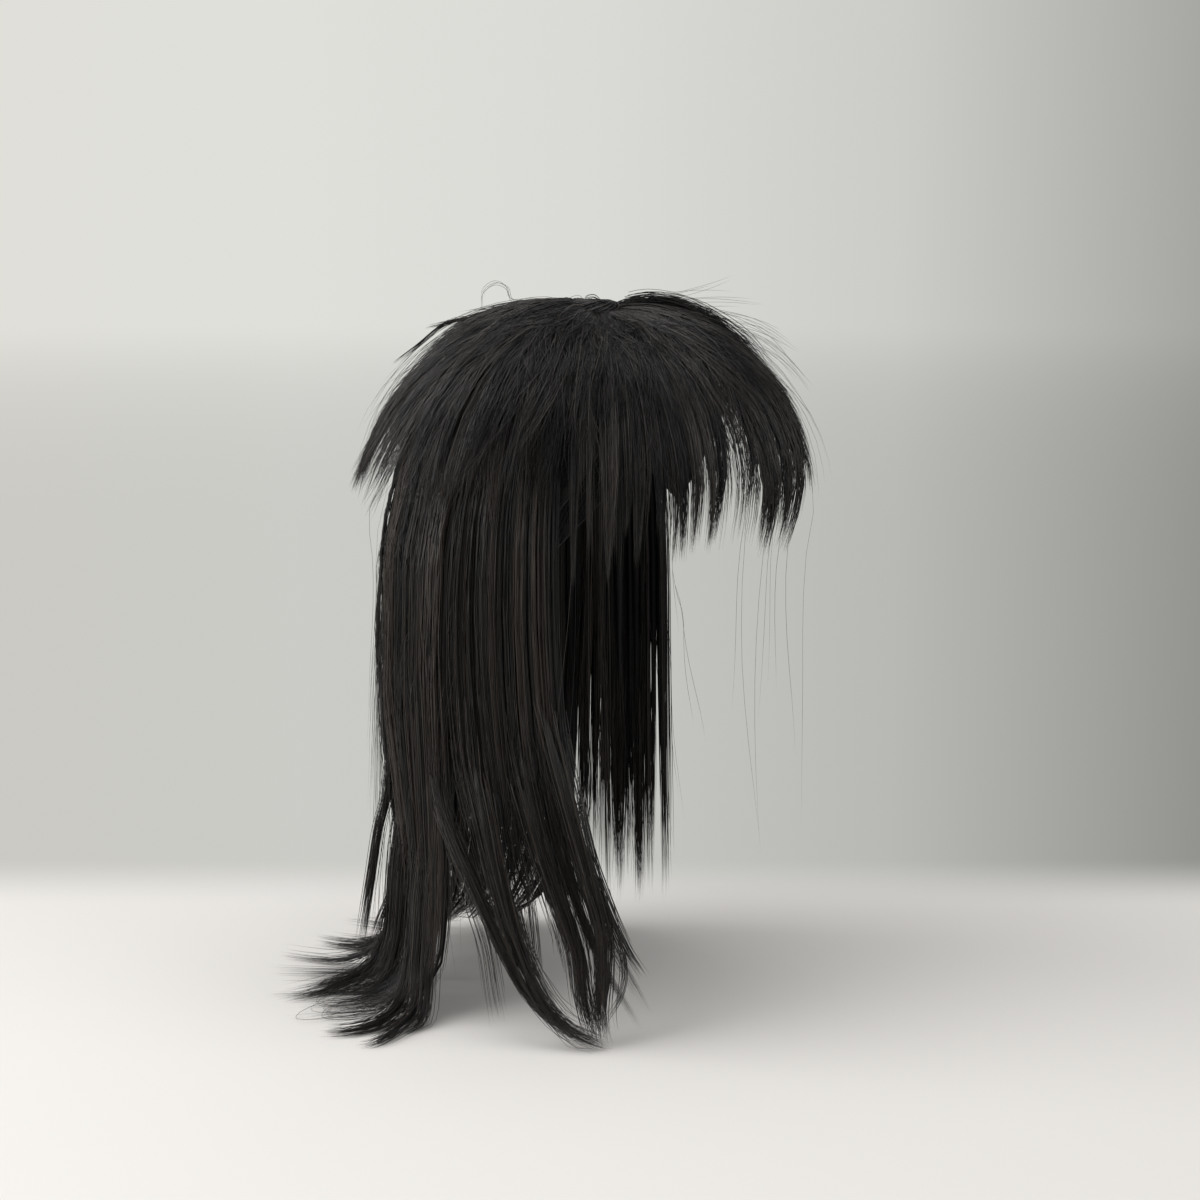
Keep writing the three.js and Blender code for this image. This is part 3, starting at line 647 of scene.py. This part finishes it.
hair_piece("tail_hair", [
    comb(rng, long_tier, 128, 254, locks=30, strands=1900, reach=(0.84, 0.98), roots=(0, 0.03),
         sway=3.0, lift=0.002, ragged=0.2, lies=True, steps=TAIL_STEPS, gather=0.3, swing=gather_tail,
         inset=slim_tail),
    # The locks that leave the tail where it meets the surface.
    *tail_lock(rng, 192, [(-0.028, 0.148, -0.418), (-0.032, 0.172, -0.427), (-0.037, 0.203, -0.428)],
               80, 0.0030, 0.004),
    *tail_lock(rng, 200, [(-0.055, 0.141, -0.418), (-0.066, 0.165, -0.427), (-0.074, 0.206, -0.428)],
               40, 0.0025, 0.003),
    *tail_lock(rng, 213, [(-0.085, 0.120, -0.420), (-0.114, 0.130, -0.427), (-0.142, 0.141, -0.428)],
               110, 0.0040, 0.005),
    *tail_lock(rng, 224, [(-0.099, 0.100, -0.422), (-0.122, 0.108, -0.428)], 90, 0.0040, 0.005),
    *tail_lock(rng, 236, [(-0.122, 0.064, -0.420), (-0.145, 0.062, -0.427), (-0.167, 0.069, -0.428),
                          (-0.178, 0.082, -0.428)], 100, 0.0032, 0.004),
    *tail_lock(rng, 241, [(-0.127, 0.049, -0.420), (-0.150, 0.046, -0.427), (-0.170, 0.044, -0.428),
                          (-0.179, 0.048, -0.428)], 70, 0.0030, 0.003),
    *tail_lock(rng, 246, [(-0.130, 0.041, -0.424), (-0.151, 0.041, -0.428)], 100, 0.0026, 0.004),
    # Fine curls among them.
    *lock_of(rng, [(-0.100, 0.100, -0.420), (-0.130, 0.115, -0.427), (-0.152, 0.105, -0.427),
                   (-0.142, 0.086, -0.427), (-0.118, 0.086, -0.427), (-0.122, 0.104, -0.427)],
             9, 0.0060, width=0.00015, steps=14),
    # Two thin locks that hang apart from it.
    *lock_of(rng, [(-0.058, 0.112, -0.220), (-0.063, 0.115, -0.272), (-0.066, 0.116, -0.304),
                   (-0.071, 0.120, -0.328), (-0.075, 0.123, -0.357), (-0.079, 0.126, -0.386),
                   (-0.082, 0.127, -0.405)], 80, 0.0018, fan=0.8, start=0.3),
    *lock_of(rng, [(-0.068, 0.102, -0.280), (-0.068, 0.104, -0.320), (-0.070, 0.109, -0.362),
                   (-0.077, 0.115, -0.385), (-0.082, 0.119, -0.403)], 40, 0.0018, fan=0.7, start=0.3),
], brown_black_hair, ["long_back"], under=[
    hearts(rng, long_tier, 130, 252, 44, (0.82, 0.92), lies=True, steps=TAIL_STEPS, swing=gather_tail,
           inset=slim_tail, gather=0.30, broad=0.9),
    hearts(rng, long_tier, 128, 254, 36, (0.70, 0.86), lies=True, steps=10, swing=gather_tail,
           inset=slim_tail, depth_share=0.4, gather=0.25, broad=0.8),
])
hair_piece("side_hair_right", [
    comb(rng, long_tier, -104, -70, locks=16, strands=1300, reach=(0.94, 1.02), roots=(0, 0.02),
         length=SIDE_LENGTH, swing=forward_swing, sway=1.0, lift=0.0015, ragged=0.2, steps=SIDE_STEPS,
         gather=0.5, trim=side_cut),
    # The lock at its back edge, which bends forward along the surface, the hair that narrows into it,
    # and fine strands behind it.
    *lock_of(rng, [(-0.104, 0.049, -0.220), (-0.112, 0.044, -0.255), (-0.118, 0.037, -0.276),
                   (-0.123, 0.029, -0.294), (-0.126, 0.019, -0.311), (-0.129, 0.002, -0.336),
                   (-0.129, -0.012, -0.361), (-0.127, -0.023, -0.382), (-0.125, -0.035, -0.400),
                   (-0.118, -0.054, -0.416), (-0.111, -0.070, -0.424), (-0.105, -0.078, -0.428)],
             100, 0.0040, fan=0.35, start=0.5, steps=12, heart=0.002),
    *lock_of(rng, [(-0.108, 0.018, -0.225), (-0.115, 0.012, -0.262), (-0.122, 0.000, -0.290),
                   (-0.126, -0.010, -0.318), (-0.127, -0.019, -0.346), (-0.126, -0.029, -0.374),
                   (-0.123, -0.042, -0.400), (-0.117, -0.057, -0.418), (-0.107, -0.075, -0.428)],
             130, 0.0075, fan=0.12, start=0.45, steps=10, heart=0.005),
    *lock_of(rng, [(-0.117, 0.029, -0.290), (-0.120, 0.022, -0.318), (-0.124, 0.006, -0.346),
                   (-0.124, -0.005, -0.373), (-0.124, -0.010, -0.400), (-0.123, -0.013, -0.419)],
             26, 0.0022, fan=1.4, start=0.4, width=0.00016),
    # The long locks at its front, which close to a point, and thin ones that leave them.
    *lock_of(rng, [(-0.102, -0.010, -0.225), (-0.109, -0.020, -0.260), (-0.113, -0.030, -0.287),
                   (-0.114, -0.040, -0.316), (-0.111, -0.050, -0.346), (-0.108, -0.058, -0.371),
                   (-0.107, -0.061, -0.395), (-0.106, -0.065, -0.412), (-0.104, -0.070, -0.426)],
             170, 0.0060, fan=0.15, start=0.5, heart=0.004),
    *lock_of(rng, [(-0.097, -0.024, -0.215), (-0.103, -0.036, -0.246), (-0.107, -0.050, -0.282),
                   (-0.104, -0.063, -0.328), (-0.100, -0.070, -0.358), (-0.100, -0.071, -0.386),
                   (-0.102, -0.070, -0.410), (-0.102, -0.072, -0.427)],
             170, 0.0060, fan=0.15, start=0.5, heart=0.004),
    *lock_of(rng, [(-0.100, -0.051, -0.275), (-0.102, -0.062, -0.310), (-0.096, -0.073, -0.346),
                   (-0.090, -0.082, -0.371), (-0.084, -0.090, -0.388)], 44, 0.0022, fan=0.9, start=0.3),
    *lock_of(rng, [(-0.098, -0.066, -0.320), (-0.096, -0.073, -0.349), (-0.091, -0.081, -0.377),
                   (-0.093, -0.080, -0.399), (-0.102, -0.070, -0.420)], 12, 0.0012, start=0.3),
    *lock_of(rng, [(-0.111, -0.015, -0.296), (-0.115, -0.021, -0.313), (-0.115, -0.028, -0.343),
                   (-0.114, -0.031, -0.374), (-0.113, -0.033, -0.398)],
             30, 0.0034, start=0.3, width=0.00016),
    *lock_of(rng, [(-0.106, -0.028, -0.308), (-0.110, -0.037, -0.330), (-0.107, -0.046, -0.361),
                   (-0.105, -0.049, -0.382)], 40, 0.0034, start=0.3, width=0.00016),
], brown_black_hair, ["long_side_right"], under=[
    hearts(rng, long_tier, -104, -71, 20, (0.74, 0.86), length=SIDE_LENGTH, swing=forward_swing,
           steps=SIDE_STEPS),
    hearts(rng, long_tier, -103, -72, 16, (0.66, 0.80), length=SIDE_LENGTH, swing=forward_swing,
           steps=SIDE_STEPS, depth_share=0.4),
])
hair_piece("side_hair_left", [
    comb(rng, long_tier, 98, 126, locks=12, strands=900, reach=(0.92, 1.0), roots=(0, 0.02),
         length=SIDE_LENGTH, sway=1.6, lift=0.002, ragged=0.2, steps=SIDE_STEPS, gather=0.5),
], brown_black_hair, ["long_side_left"], under=[
    hearts(rng, long_tier, 98, 126, 12, (0.74, 0.84), length=SIDE_LENGTH, steps=SIDE_STEPS),
    hearts(rng, long_tier, 99, 125, 10, (0.62, 0.74), length=SIDE_LENGTH, steps=SIDE_STEPS,
           depth_share=0.5),
])
hair_piece("nape_hair", [
    comb(rng, nape_tier, 112, 248, locks=24, strands=800, reach=(0.84, 1.0), roots=(0, 0.02), sway=3,
         lift=0.0015, steps=7, depths=(-0.2, 1.0), gather=0.85),
], brown_black_hair, ["nape_layer"], under=[
    hearts(rng, nape_tier, 112, 248, 44, (0.66, 0.86), steps=8, depth_share=0.5, broad=0.75),
])
hair_piece("stray_hair", [
    # The wisp that stands out at the back of the crown, and a second one under it.
    *lock_of(rng, [(-0.005, 0.008, 0.008), (-0.014, 0.022, 0.009), (-0.032, 0.049, 0.005),
                   (-0.046, 0.070, -0.001), (-0.058, 0.089, -0.006)], 50, 0.0010, fan=0.3, start=0.3),
    *lock_of(rng, [(-0.040, 0.060, 0.000), (-0.050, 0.077, -0.003), (-0.060, 0.093, -0.017),
                   (-0.069, 0.106, -0.029)], 16, 0.0012, fan=0.5, start=0.3),
    # The loop at the back of the crown, and the small one in the middle of it.
    *lock_of(rng, [(-0.019, 0.028, 0.009), (-0.028, 0.043, 0.011), (-0.030, 0.046, 0.019),
                   (-0.034, 0.052, 0.022), (-0.038, 0.058, 0.017), (-0.038, 0.059, 0.009),
                   (-0.037, 0.058, 0.002)], 4, 0.0009, width=0.00012, steps=20),
    *lock_of(rng, [(-0.003, 0.005, 0.008), (-0.003, 0.004, 0.012), (0.000, 0.000, 0.013),
                   (0.002, -0.003, 0.010), (0.004, -0.006, 0.004)], 8, 0.0007),
    # The thick lock that arches over the front of the crown.
    *lock_of(rng, [(0.004, -0.007, 0.004), (0.011, -0.018, 0.009), (0.020, -0.031, 0.0105),
                   (0.031, -0.048, 0.0060), (0.041, -0.063, -0.0035), (0.052, -0.080, -0.020),
                   (0.060, -0.092, -0.044)], 120, 0.0021, fan=1.7, start=0.35, heart=0.0022),
    # Fine wisps that rise over it.
    *lock_of(rng, [(0.010, -0.018, 0.008), (0.026, -0.042, 0.016), (0.038, -0.060, 0.022),
                   (0.046, -0.071, 0.027)], 3, 0.0020, width=0.00009),
    *lock_of(rng, [(0.020, -0.034, 0.010), (0.040, -0.064, 0.012), (0.058, -0.092, 0.009)],
             5, 0.0034, width=0.00010),
    *lock_of(rng, [(0.030, -0.052, 0.006), (0.052, -0.086, -0.002), (0.068, -0.111, -0.018)],
             9, 0.0045, width=0.00010),
    *lock_of(rng, [(0.036, -0.064, 0.000), (0.056, -0.096, -0.018), (0.068, -0.116, -0.044)],
             12, 0.0045, width=0.00010),
    loose_strands(rng, 170, 0, 360, (0.010, 0.060), (0.05, 0.12), (-0.002, 0.010), 14),
    loose_strands(rng, 70, -170, -60, (0.16, 0.26), (0.10, 0.20), (-0.002, 0.008), 5),
    loose_strands(rng, 36, 195, 225, (0.14, 0.30), (0.10, 0.24), (0.000, 0.014), 5, width=0.00009),
    loose_strands(rng, 40, 90, 190, (0.16, 0.26), (0.10, 0.20), (-0.002, 0.006), 4),
    loose_strands(rng, 8, -20, 36, (0.08, 0.12), (0.16, 0.30), (-0.004, 0.004), 5, width=0.00009),
], black_hair)


# The knot that closes the crown: strands wound round it before they run out over the head.
KNOT_STRANDS = 220
KNOT_TURN = 150
KNOT_HEIGHT, KNOT_REST = 0.0075, 0.0045
each = (KNOT_STRANDS, 1)
wound = rng.uniform(0, 360, KNOT_STRANDS)
t = places_along(9)
turned = wound[:, None] + KNOT_TURN * (1 - t) ** 1.5 + rng.normal(0, 8, each) * t
along = mix(rng.uniform(0.0008, 0.003, each), rng.uniform(0.012, 0.026, each), t)
depth = KNOT_HEIGHT * np.sin(pi * np.clip(1.05 - t, 0, 1)) ** 0.5 * (1 - t) + KNOT_REST
points, outward = on_path(turned, along, depth + rng.uniform(-0.0015, 0.0005, each), False)
radii = 0.0003 * rng.uniform(0.8, 1.2, each) * taper(t, 0.3, 0.15)
hair_piece("crown_knot", [
    tubes(points, outward, radii, strand_tints(rng, KNOT_STRANDS), t[0]),
], black_hair, ["crown_whorl"])


# The net: how many threads cross it round the head, the height of its cells, and its hem.
NET_CELLS_ROUND = 90
NET_CELL = 0.0045
HEM_WIDTH = 0.007
RIM_ROUNDING = 0.0005


def net_material():
    """Black stretch net: crossed threads with darker holes between them, and a plain hem at the rim."""
    material = bpy.data.materials.new("cap_net")
    material.use_nodes = True
    nodes, links = material.node_tree.nodes, material.node_tree.links
    shader = nodes["Principled BSDF"]
    shader.inputs["Roughness"].default_value = 0.8

    def number(operation, *given):
        return number_of(nodes, links, operation, *given)

    where = nodes.new("ShaderNodeTexCoord")
    parts = nodes.new("ShaderNodeSeparateXYZ")
    links.new(where.outputs["Object"], parts.inputs[0])
    azimuth = number("ARCTAN2", parts.outputs["X"], parts.outputs["Y"])
    around = number("MULTIPLY", azimuth, NET_CELLS_ROUND)
    down = number("MULTIPLY", parts.outputs["Z"], pi / NET_CELL)
    one_way = number("ABSOLUTE", number("SINE", number("ADD", around, down)))
    other_way = number("ABSOLUTE", number("SINE", number("SUBTRACT", around, down)))
    thread = number("SUBTRACT", 1.0, number("MINIMUM", one_way, other_way))
    from_rim = nodes.new("ShaderNodeAttribute")
    from_rim.attribute_name = "from_rim"
    hem = number("LESS_THAN", from_rim.outputs["Fac"], HEM_WIDTH)
    stitches = number("SINE", number("MULTIPLY", around, 3.0))
    height = number("MAXIMUM", number("POWER", thread, 3.0), number("MULTIPLY_ADD", stitches, 0.1, hem))
    colour = nodes.new("ShaderNodeValToRGB")
    colour.color_ramp.elements[0].color = (0.004, 0.004, 0.004, 1)
    colour.color_ramp.elements[1].color = (0.026, 0.024, 0.023, 1)
    links.new(height, colour.inputs["Fac"])
    links.new(colour.outputs["Color"], shader.inputs["Base Color"])
    relief_on(nodes, links, shader, height, 0.9, 0.0005)
    return material


# The net cap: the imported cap's dome with its rim rounded, its faces made finer, and the distance of
# each point from the rim kept for the hem. The rim is the sharp edge below the crown of the dome.
cap_mesh = bpy.data.meshes.new("cap_of_net")
shell = bmesh.new()
shell.from_mesh(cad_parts["wig_cap"].data)
bmesh.ops.remove_doubles(shell, verts=shell.verts, dist=1e-5)
rim = [edge for edge in shell.edges if edge.calc_face_angle(0) > 0.9 and edge.verts[0].co.z < -0.03]
rim_places = np.array([vertex.co[:] for edge in rim for vertex in edge.verts])
bmesh.ops.bevel(shell, geom=rim, offset=RIM_ROUNDING, affect="EDGES", segments=2, profile=0.5,
                material=-1)
bmesh.ops.subdivide_edges(shell, edges=shell.edges, cuts=1, use_grid_fill=True, smooth=0.6)
bmesh.ops.triangulate(shell, faces=[face for face in shell.faces if len(face.verts) > 4])
for face in shell.faces:
    face.smooth = True
shell.to_mesh(cap_mesh)
shell.free()
cap_places = np.array([vertex.co[:] for vertex in cap_mesh.vertices])
from_rim = np.linalg.norm(cap_places[:, None] - rim_places[None], axis=2).min(axis=1)
rim_distance = cap_mesh.attributes.new("from_rim", "FLOAT", "POINT")
rim_distance.data.foreach_set("value", from_rim.astype(np.float32))
cap_mesh.materials.append(net_material())
cap = bpy.data.objects.new("cap_of_net", cap_mesh)
bpy.context.scene.collection.objects.link(cap)
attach(cap, "root")
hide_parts("wig_cap")

# The camera, and from it the ground, the backdrop that the ground runs into, and the lights.
CAMERA_PLACE = (-1.2166, -0.790, 0.050)
CAMERA_TURN = (81.05, 0, -56.99)
CAMERA_LENS = 69.24
SENSOR_WIDTH = 36
CAMERA_SHIFT = 0.005
AHEAD = (0.839, 0.545, 0)
ASIDE = (0.545, -0.839, 0)

# Where the ground turns into the backdrop, a glow with no lamp that is painted light: by the distance
# ahead of the photograph's camera, a fixed place that is never read from the camera itself, and by the
# distance round the wig. It suits that one view. The backdrop on the ground is painted dimmer near the
# wig than far off.
TURNS_AHEAD = (1.62, 1.76)
TURNS_ROUND = (0.5, 0.9)
DIM_FROM, DIM_SHARE = (2.0, 12.0), (0.80, 1.0)


def backdrop_painted_light(nodes, links, direction):
    """The studio's grey, with painted light: lighter on one side than the other, from a direction in the
    room.
    """
    level = vector_of(nodes, links, "MULTIPLY", direction, (1, 1, 0))
    unit = vector_of(nodes, links, "NORMALIZE", level)
    aside = vector_of(nodes, links, "DOT_PRODUCT", unit, ASIDE)
    grey = nodes.new("ShaderNodeValToRGB")
    grey.color_ramp.elements[0].color = (0.745, 0.735, 0.690, 1)
    grey.color_ramp.elements[1].color = (0.365, 0.370, 0.350, 1)
    for position, shade in ((0.25, (0.745, 0.745, 0.71)), (0.5, (0.70, 0.705, 0.67)),
                            (0.75, (0.60, 0.605, 0.575))):
        grey.color_ramp.elements.new(position).color = (*shade, 1)
    links.new(carried(nodes, links, aside, (-0.26, 0.26)), grey.inputs["Fac"])
    return grey.outputs["Color"]


bpy.ops.mesh.primitive_plane_add(size=80, location=(0, 0, -SURFACE_DROP - 0.001))
ground = bpy.context.object
ground.name = "ground"
pale = bpy.data.materials.new("pale_ground")
pale.use_nodes = True
nodes, links = pale.node_tree.nodes, pale.node_tree.links
shader = nodes["Principled BSDF"]
shader.inputs["Base Color"].default_value = (0.73, 0.71, 0.68, 1)
shader.inputs["Roughness"].default_value = 0.95
place = nodes.new("ShaderNodeTexCoord").outputs["Object"]
from_camera = vector_of(nodes, links, "SUBTRACT", place, (*CAMERA_PLACE[:2], 0))
depth = vector_of(nodes, links, "DOT_PRODUCT", from_camera, AHEAD)
distance = vector_of(nodes, links, "LENGTH", place)
behind = carried(nodes, links, depth, TURNS_AHEAD, smooth=True)
far = carried(nodes, links, distance, TURNS_ROUND, smooth=True)
# The far ground glows in the backdrop's grey: painted light, which takes no shadow.
glow = nodes.new("ShaderNodeEmission")
links.new(carried(nodes, links, distance, DIM_FROM, DIM_SHARE, smooth=True), glow.inputs["Strength"])
links.new(backdrop_painted_light(nodes, links, from_camera), glow.inputs["Color"])
blend = nodes.new("ShaderNodeMixShader")
links.new(number_of(nodes, links, "MAXIMUM", behind, far), blend.inputs["Fac"])
links.new(shader.outputs["BSDF"], blend.inputs[1])
links.new(glow.outputs["Emission"], blend.inputs[2])
links.new(blend.outputs["Shader"], nodes["Material Output"].inputs["Surface"])
ground.data.materials.append(pale)

# The room lights the hair in an even grey, while the camera sees the backdrop: painted light, lighter on
# one side than on the other.
world = bpy.data.worlds.new("studio")
bpy.context.scene.world = world
world.use_nodes = True
nodes, links = world.node_tree.nodes, world.node_tree.links
seen = nodes["Background"]
direction = nodes.new("ShaderNodeTexCoord")
links.new(backdrop_painted_light(nodes, links, direction.outputs["Generated"]), seen.inputs["Color"])
room = nodes.new("ShaderNodeBackground")
room.inputs["Color"].default_value = (0.60, 0.60, 0.60, 1)
room.inputs["Strength"].default_value = 0.66
ray = nodes.new("ShaderNodeLightPath")
blend = nodes.new("ShaderNodeMixShader")
links.new(ray.outputs["Is Camera Ray"], blend.inputs["Fac"])
links.new(room.outputs["Background"], blend.inputs[1])
links.new(seen.outputs["Background"], blend.inputs[2])
links.new(blend.outputs["Shader"], nodes["World Output"].inputs["Surface"])


def soft_light(name, place, aim, size, power):
    """A square light at a place, turned to what it aims at."""
    data = bpy.data.lights.new(name, "AREA")
    data.shape = "SQUARE"
    data.size = size
    data.energy = power
    light = bpy.data.objects.new(name, data)
    bpy.context.scene.collection.objects.link(light)
    light.location = place
    light.rotation_euler = (Vector(aim) - Vector(place)).to_track_quat("-Z", "Y").to_euler()


soft_light("key", (-1.3, 1.1, 0.9), (0, 0, -0.15), 2.1, 43)
soft_light("fill", (0.3, -1.8, 0.6), (0, 0, -0.2), 1.4, 9)
soft_light("overhead", (-0.2, 0.0, 1.6), (0, 0, -0.1), 1.6, 13)

camera = bpy.data.objects.new("camera", bpy.data.cameras.new("camera"))
bpy.context.scene.collection.objects.link(camera)
camera.location = CAMERA_PLACE
camera.rotation_euler = np.radians(CAMERA_TURN)
camera.data.lens = CAMERA_LENS
camera.data.sensor_width = SENSOR_WIDTH
camera.data.shift_x = CAMERA_SHIFT
bpy.context.scene.camera = camera
bpy.context.scene.view_settings.view_transform = "Standard"
